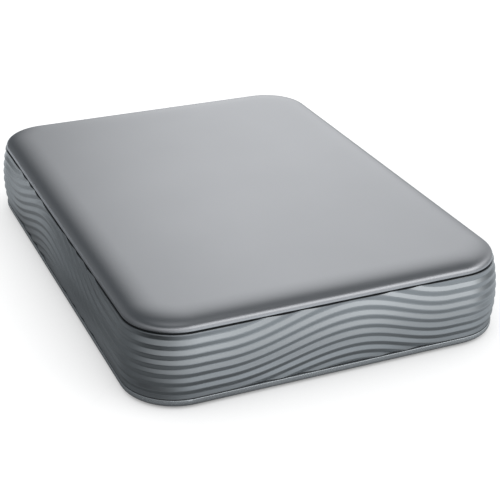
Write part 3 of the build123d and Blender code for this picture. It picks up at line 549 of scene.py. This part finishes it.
innerFinishes = {
    "bumper_rubber": look((0.05, 0.05, 0.055), (0.07, 0.07, 0.075), 3.0, 0.15, 0.75, 0.1, 0.0, 0.3, 0.06),
    "foam": look(
        (0.1, 0.1, 0.1), (0.07, 0.07, 0.07), 5.0, 0.2, 0.9, 0.1, 0.0, 0.8, 0.2,
        # painted shade: the pore hollows are sunk by the bump and painted darker
        ("pores", {"Cells": 2.2}, (0.02, 0.02, 0.02), -2.0),
    ),
    "tape": look(
        (0.8, 0.8, 0.77), (0.7, 0.7, 0.66), 3.0, 0.2, 0.7, 0.1, 0.0, 0.3, 0.05,
        ("weave", {"Pitch": 0.5}, (0.74, 0.74, 0.7), 0.8),
    ),
    "film": look((0.03, 0.03, 0.034), (0.05, 0.05, 0.055), 1.2, 0.1, 0.32, 0.15, 0.0, 0.2, 0.05),
    "circuit_board": look(
        (0.012, 0.12, 0.055), (0.01, 0.09, 0.04), 4.0, 0.15, 0.35, 0.1, 0.0, 0.3, 0.04,
        ("traces", {"Pitch": 0.9, "Pads": 0.45}, (0.05, 0.26, 0.11), 1.2),
    ),
    "chip_body": look((0.015, 0.015, 0.016), (0.03, 0.03, 0.03), 8.0, 0.4, 0.6, 0.1, 0.0, 0.3, 0.03),
    "screw_steel": look(
        (0.5, 0.5, 0.51), (0.4, 0.4, 0.41), 6.0, 0.4, 0.35, 0.15, 1.0, 0.2, 0.03,
        ("layers", {"Pitch": 0.3}, (0.36, 0.36, 0.37), 1.0),
    ),
    "casting": look((0.5, 0.5, 0.5), (0.4, 0.4, 0.4), 1.6, 0.08, 0.5, 0.2, 1.0, 0.35, 0.12),
    "lid_steel": look(
        (0.6, 0.6, 0.6), (0.5, 0.5, 0.5), 4.0, 0.05, 0.32, 0.15, 1.0, 0.15, 0.03,
        ("brush", {"Stretch": (1.0, 0.03, 1.0), "Grain": 6.0}, (0.48, 0.48, 0.48), 0.8),
    ),
    "gasket": look((0.04, 0.04, 0.04), (0.06, 0.06, 0.06), 5.0, 0.2, 0.85, 0.1, 0.0, 0.3, 0.04),
    "platter_mirror": look(
        (0.85, 0.86, 0.88), (0.82, 0.83, 0.85), 0.5, 0.03, 0.05, 0.03, 1.0, 0.02, 0.01,
        ("rings", {"Centre": spindleAt, "Pitch": 0.8}, (0.8, 0.81, 0.83), 0.2),
    ),
    "turned_metal": look(
        (0.62, 0.62, 0.63), (0.54, 0.54, 0.55), 5.0, 0.2, 0.28, 0.1, 1.0, 0.25, 0.03,
        ("rings", {"Centre": spindleAt, "Pitch": 0.25}, (0.5, 0.5, 0.51), 1.0),
    ),
    "bearing_steel": look(
        (0.55, 0.55, 0.56), (0.48, 0.48, 0.49), 5.0, 0.3, 0.2, 0.1, 1.0, 0.15, 0.02,
        ("brush", {"Stretch": (0.05, 0.05, 1.0), "Grain": 8.0}, (0.45, 0.45, 0.46), 0.8),
    ),
    "stator_steel": look(
        (0.3, 0.26, 0.22), (0.22, 0.2, 0.17), 4.0, 0.4, 0.45, 0.15, 1.0, 0.4, 0.05,
        ("layers", {"Pitch": 0.35}, (0.16, 0.14, 0.12), 1.5),
    ),
    "magnet": look((0.62, 0.61, 0.58), (0.54, 0.53, 0.5), 1.5, 0.15, 0.2, 0.1, 1.0, 0.06, 0.04),
    "yoke_steel": look(
        (0.56, 0.56, 0.56), (0.48, 0.48, 0.48), 3.0, 0.1, 0.28, 0.12, 1.0, 0.12, 0.04,
        ("brush", {"Stretch": (0.15, 1.0, 1.0), "Grain": 5.0}, (0.46, 0.46, 0.46), 0.6),
    ),
    "coil_wire": look(
        (0.6, 0.26, 0.1), (0.5, 0.2, 0.07), 5.0, 0.3, 0.35, 0.1, 0.9, 0.5, 0.06,
        ("layers", {"Pitch": 0.2}, (0.32, 0.12, 0.04), 1.0),
        ("rings", {"Centre": pivotAt, "Pitch": 0.2}, (0.4, 0.16, 0.05), 1.0),
    ),
    "ramp_plastic": look((0.74, 0.72, 0.64), (0.66, 0.64, 0.56), 4.0, 0.2, 0.45, 0.1, 0.0, 0.15, 0.04),
    "filter_cloth": look(
        (0.82, 0.82, 0.81), (0.74, 0.74, 0.73), 5.0, 0.3, 0.9, 0.05, 0.0, 0.6, 0.12,
        ("weave", {"Pitch": 0.45}, (0.55, 0.55, 0.54), 1.5),
    ),
}
finishes = {**outerFinishes, **innerFinishes}
materials = {name: makeFinish(name, finish) for name, finish in finishes.items()}
subparts = frame["record"]["subparts"]
for row in subparts:
    for place in nodes[row["node"]].material_slots:
        place.material = materials[row["material_slot"]]
print("finishes set on", len(subparts), "nodes")

# outer shell: rings drawn out from the case's plan, in millimetres

shell = {
    "foot": (31.2, 47.2),  # centres of the plan's corners
    "arcSteps": 14,
    "sideCuts": 63,
}


def planRing(bm, s, radius, level, cuts):
    half = [foot + radius for foot in s["foot"]]
    bmesh.ops.create_grid(bm, x_segments=1, y_segments=1, size=1.0)
    bmesh.ops.scale(bm, vec=(*half, 1.0), verts=bm.verts[:])
    bmesh.ops.bevel(
        bm, geom=bm.verts[:], offset=radius, offset_type="OFFSET", affect="VERTICES",
        segments=s["arcSteps"], profile=0.5, material=-1,
    )
    if cuts:
        sides = [e for e in bm.edges if e.calc_length() > s["foot"][0]]
        bmesh.ops.subdivide_edges(bm, edges=sides, cuts=cuts)
    bmesh.ops.translate(bm, vec=(0, 0, level), verts=bm.verts[:])
    return bm.edges[:]


def nextRing(bm, edges):
    made = bmesh.ops.extrude_edge_only(bm, edges=edges)["geom"]
    verts = {g for g in made if isinstance(g, bmesh.types.BMVert)}
    return [g for g in made if isinstance(g, bmesh.types.BMEdge) and set(g.verts) <= verts], verts


def spread(verts, radius, level, old=shell["foot"], new=shell["foot"]):
    for v in verts:
        foot = Vector((max(-old[0], min(old[0], v.co.x)), max(-old[1], min(old[1], v.co.y))))
        out = (v.co.xy - foot).normalized()
        spot = Vector((foot.x * new[0] / old[0], foot.y * new[1] / old[1])) + out * radius
        v.co = (spot.x, spot.y, level)


def ringTo(bm, edges, radius, level, old=shell["foot"], new=shell["foot"]):
    edges, verts = nextRing(bm, edges)
    spread(verts, radius, level, old, new)
    return edges


def toObject(bm, name):
    bmesh.ops.scale(bm, vec=(mm, mm, mm), verts=bm.verts[:])
    mesh = bpy.data.meshes.new(name)
    bm.to_mesh(mesh)
    bm.free()
    made = bpy.data.objects.new(name, mesh)
    scene.collection.objects.link(made)
    return made


def smoothFaces(mesh, angle):
    mesh.shade_smooth()
    mesh.set_sharp_from_angle(angle=math.radians(angle))


def finishPiece(bm, name, slot, node, angle):
    piece = toObject(bm, name)
    smoothFaces(piece.data, angle)
    piece.data.materials.append(materials[slot])
    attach(piece, "case")
    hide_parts(node)
    return piece


def evenNormals(piece):
    even = piece.modifiers.new("evenNormals", "WEIGHTED_NORMAL")
    even.keep_sharp = True


def bezierAt(points, t):
    shares = ((1 - t) ** 3, 3 * t * (1 - t) ** 2, 3 * t * t * (1 - t), t ** 3)
    return sum((Vector(p) * share for p, share in zip(points, shares)), Vector((0, 0)))


coverForm = {
    "top": 19.6,
    "foot": 17.3,
    "radius": 11.39,
    "edgeRun": 7.5,
    "low": 0.73,  # how full the edge curve is at the foot and at the top
    "high": 0.79,
    "wall": 1.0,
    "steps": 28,
    "innerStep": 4,
    "border": 1.2,
    "footRound": 0.09,
    "footSteps": 2,
    "sharp": 40,  # degrees
}


def buildCover(s):
    bm = bmesh.new()
    crown = s["radius"] - s["edgeRun"]
    rise = s["top"] - s["foot"]
    planRing(bm, shell, crown, s["top"], 0)
    bmesh.ops.inset_region(bm, faces=bm.faces[:], thickness=s["border"], use_even_offset=True)
    edges = [e for e in bm.edges if e.is_boundary]
    outer = [
        (crown, s["top"]),
        (crown + s["high"] * s["edgeRun"], s["top"]),
        (s["radius"], s["foot"] + s["low"] * rise),
        (s["radius"], s["foot"]),
    ]
    for step in range(1, s["steps"] + 1):
        spot = bezierAt(outer, step / s["steps"])
        edges = ringTo(bm, edges, spot.x, spot.y)
    footEdges = edges
    skirt = s["radius"] - s["wall"]
    inner = [
        (skirt, s["foot"]),
        (skirt, s["foot"] + s["low"] * (rise - s["wall"])),
        (crown + s["high"] * (skirt - crown), s["top"] - s["wall"]),
        (crown, s["top"] - s["wall"]),
    ]
    for step in range(0, s["steps"] + 1, s["innerStep"]):
        spot = bezierAt(inner, step / s["steps"])
        edges = ringTo(bm, edges, spot.x, spot.y)
    bmesh.ops.edgeloop_fill(bm, edges=edges)
    bmesh.ops.bevel(
        bm, geom=footEdges, offset=s["footRound"], offset_type="OFFSET", affect="EDGES",
        segments=s["footSteps"], profile=0.5, material=-1,
    )
    bmesh.ops.recalc_face_normals(bm, faces=bm.faces[:])
    evenNormals(finishPiece(bm, "coverShell", "cover_metal", "top_cover", s["sharp"]))


buildCover(coverForm)
print("cover built")

# side band: ridges laid ring by ring, cut off at the seams, then the port's recess and hook pockets

bandForm = {
    "edgeRadius": 11.7,
    "bulge": 1.1,
    "waist": 8.7,
    "reach": 8.3,  # waist to the seam
    "seam": 17.0,
    "bottom": 2.4,
    "topCrest": 16.86,
    "pitch": 2.07,
    "depth": 0.4,
    "crestRound": 0.17,
    "longWave": (47.2, 3.9, 8.7, 5.2, 8.7),  # reach, peak, flat start, flat end, rise
    "shortWave": (31.2, 3.75, 6.0, 4.0, 4.9),
    "stepsDown": 23,  # half pitches below and above the top crest
    "stepsUp": 3,
    "cutWithin": 1e-4,  # millimetres
    "sharp": 40,  # degrees
    "lipRadius": 10.09,
    "flangeTop": 17.6,
    "flangeBottom": 16.9,
    "opening": (35.325, 55.0, 1.5),  # half width, half length, corner
    "innerRadius": 9.5,
    "recess": (21.0, 8.0, 2.5, 1.1, 58.15),  # width, height, corner, middle, face
    "recessSteps": 8,
    "cutDepth": 6.0,
    "holeShift": 0.1,
    "portHole": (13.3, 3.1),  # width, height
    "pipeHole": (1.1, 8.6, 32),  # radius, place, sides
    "portLevel": 7.85,
    "hookPocket": (1.6, 8.6, 2.2, 7.5),  # thickness, width, height, level
    "longHooks": 15.0,
    "frontHooks": 12.0,
    "portHooks": 28.0,
}


def waveLift(along, wave):
    reach, peak, start, end, rise = wave
    run = reach - end - peak if along > peak else reach - start + peak
    share = min(abs(along - peak) / run, 1.0)
    return rise * (1 + math.cos(math.pi * share)) / 2


def liftAt(co, s):
    footX, footY = shell["foot"]
    if abs(co.x) > footX and abs(co.y) > footY:
        return 0.0  # corners stay flat
    if abs(co.y) > footY:
        return waveLift(co.x if co.y < 0 else -co.x, s["shortWave"])
    return waveLift(co.y if co.x < 0 else -co.y, s["longWave"])


def ridgeSteps(s):
    half = s["pitch"] / 2
    shift = s["crestRound"]
    cut = s["depth"] * shift / half
    rows = []
    for step in range(-s["stepsDown"], s["stepsUp"]):
        level = s["topCrest"] + step * half
        base = s["depth"] * (step % 2)  # crests and valleys by turns
        side = -cut if step % 2 else cut
        rows += [(level - shift, base + side), (level, base + side / 2), (level + shift, base + side)]
    return rows


def layRidge(verts, level, depth, s):
    for v in verts:
        z = level + liftAt(v.co, s)
        share = min(abs(z - s["waist"]) / s["reach"], 1.0)
        spread([v], s["edgeRadius"] + s["bulge"] * (1 - share ** 2) - depth, z)


def buildBand(s):
    bm = bmesh.new()
    edges = planRing(bm, shell, s["edgeRadius"], 0.0, shell["sideCuts"])
    bmesh.ops.delete(bm, geom=bm.faces[:], context="FACES_ONLY")
    rows = ridgeSteps(s)
    layRidge(bm.verts[:], *rows[0], s)
    for level, depth in rows[1:]:
        edges, verts = nextRing(bm, edges)
        layRidge(verts, level, depth, s)
    for level, way in ((s["bottom"], -1), (s["seam"], 1)):
        bmesh.ops.bisect_plane(
            bm, geom=bm.verts[:] + bm.edges[:] + bm.faces[:], dist=s["cutWithin"],
            plane_co=(0, 0, level), plane_no=(0, 0, way), clear_outer=True,
        )
    rims = [e for e in bm.edges if e.is_boundary]
    middle = (s["bottom"] + s["seam"]) / 2
    low = [e for e in rims if e.verts[0].co.z < middle]
    edges = [e for e in rims if e.verts[0].co.z > middle]
    width, length, corner = s["opening"]
    narrow = (width - corner, length - corner)
    edges = ringTo(bm, edges, s["lipRadius"], s["seam"])
    edges = ringTo(bm, edges, s["lipRadius"], s["flangeTop"])
    edges = ringTo(bm, edges, corner, s["flangeTop"], shell["foot"], narrow)
    edges = ringTo(bm, edges, corner, s["flangeBottom"], narrow, narrow)
    edges = ringTo(bm, edges, s["innerRadius"], s["flangeBottom"], narrow, shell["foot"])
    edges = ringTo(bm, edges, s["innerRadius"], s["bottom"])
    bmesh.ops.bridge_loops(bm, edges=low + edges)
    bmesh.ops.recalc_face_normals(bm, faces=bm.faces[:])
    return finishPiece(bm, "waveBand", "band_plastic", "wave_band", s["sharp"])


def addBlock(bm, size, spot, corner=0.0, steps=1):
    made = bmesh.ops.create_cube(bm, size=1.0)["verts"]
    bmesh.ops.scale(bm, vec=size, verts=made)
    if corner:
        edges = {e for v in made for e in v.link_edges}
        inward = [e for e in edges if abs(e.verts[0].co.y - e.verts[1].co.y) > size[1] / 2]
        made = bmesh.ops.bevel(
            bm, geom=inward, offset=corner, offset_type="OFFSET", affect="EDGES",
            segments=steps, profile=0.5, material=-1,
        )["verts"]
        made = {w for v in made for f in v.link_faces for w in f.verts}
    bmesh.ops.translate(bm, vec=spot, verts=list(made))


def cutBand(band, s):
    bm = bmesh.new()
    depth, level = s["cutDepth"], s["portLevel"]
    width, height, corner, middle, face = s["recess"]
    outside = (middle, face + depth / 2, level)
    addBlock(bm, (width, depth, height), outside, corner, s["recessSteps"])
    width, height = s["portHole"]
    inside = face - s["holeShift"]
    addBlock(bm, (width, depth, height), (0, inside, level))
    radius, spot, sides = s["pipeHole"]
    bmesh.ops.create_cone(
        bm, cap_ends=True, segments=sides, radius1=radius, radius2=radius, depth=depth,
        matrix=Matrix.Translation((spot, inside, level)) @ Matrix.Rotation(math.pi / 2, 4, "X"),
    )
    thick, wide, high, hookLevel = s["hookPocket"]
    wallX, wallY = (foot + s["innerRadius"] for foot in shell["foot"])
    for side in (-1, 1):
        for along in (-s["longHooks"], s["longHooks"]):
            addBlock(bm, (thick, wide, high), (side * wallX, along, hookLevel))
    for wall, hooks in ((-wallY, s["frontHooks"]), (wallY, s["portHooks"])):
        for along in (-hooks, hooks):
            addBlock(bm, (wide, thick, high), (along, wall, hookLevel))
    cutter = toObject(bm, "bandCuts")
    cut = band.modifiers.new("cuts", "BOOLEAN")
    cut.operation = "DIFFERENCE"
    cut.solver = "EXACT"
    cut.use_self = True
    cut.object = cutter
    bpy.context.view_layer.update()
    shown = band.evaluated_get(bpy.context.evaluated_depsgraph_get())
    cutMesh = bpy.data.meshes.new_from_object(shown)
    band.modifiers.clear()
    band.data = cutMesh
    smoothFaces(cutMesh, s["sharp"])
    bpy.data.objects.remove(cutter)


waveBand = buildBand(bandForm)
cutBand(waveBand, bandForm)
evenNormals(waveBand)
print("band built,", len(waveBand.data.polygons), "faces")

# base, feet and port: merged copies of their nodes with even shading

copyForm = {
    "mergeWithin": 0.001 * mm,  # points nearer than this become one
    "sharp": 30,  # degrees
    "pieces": {
        "base_tray": ("baseTray", "base_plastic"),
        "foot_front_left": ("frontLeftFoot", "foot_rubber"),
        "foot_front_right": ("frontRightFoot", "foot_rubber"),
        "foot_rear_left": ("rearLeftFoot", "foot_rubber"),
        "foot_rear_right": ("rearRightFoot", "foot_rubber"),
        "usb_shell": ("portShell", "connector_steel"),
        "usb_tongue": ("portTongue", "connector_plastic"),
        "light_pipe": ("lightPipe", "lamp"),
    },
}


def smoothCopies(s):
    for node, (name, slot) in s["pieces"].items():
        bm = bmesh.new()
        bm.from_mesh(nodes[node].data)
        bmesh.ops.remove_doubles(bm, verts=bm.verts[:], dist=s["mergeWithin"])
        bmesh.ops.scale(bm, vec=(1 / mm, 1 / mm, 1 / mm), verts=bm.verts[:])
        evenNormals(finishPiece(bm, name, slot, node, s["sharp"]))


smoothCopies(copyForm)
print("base, feet and port built")
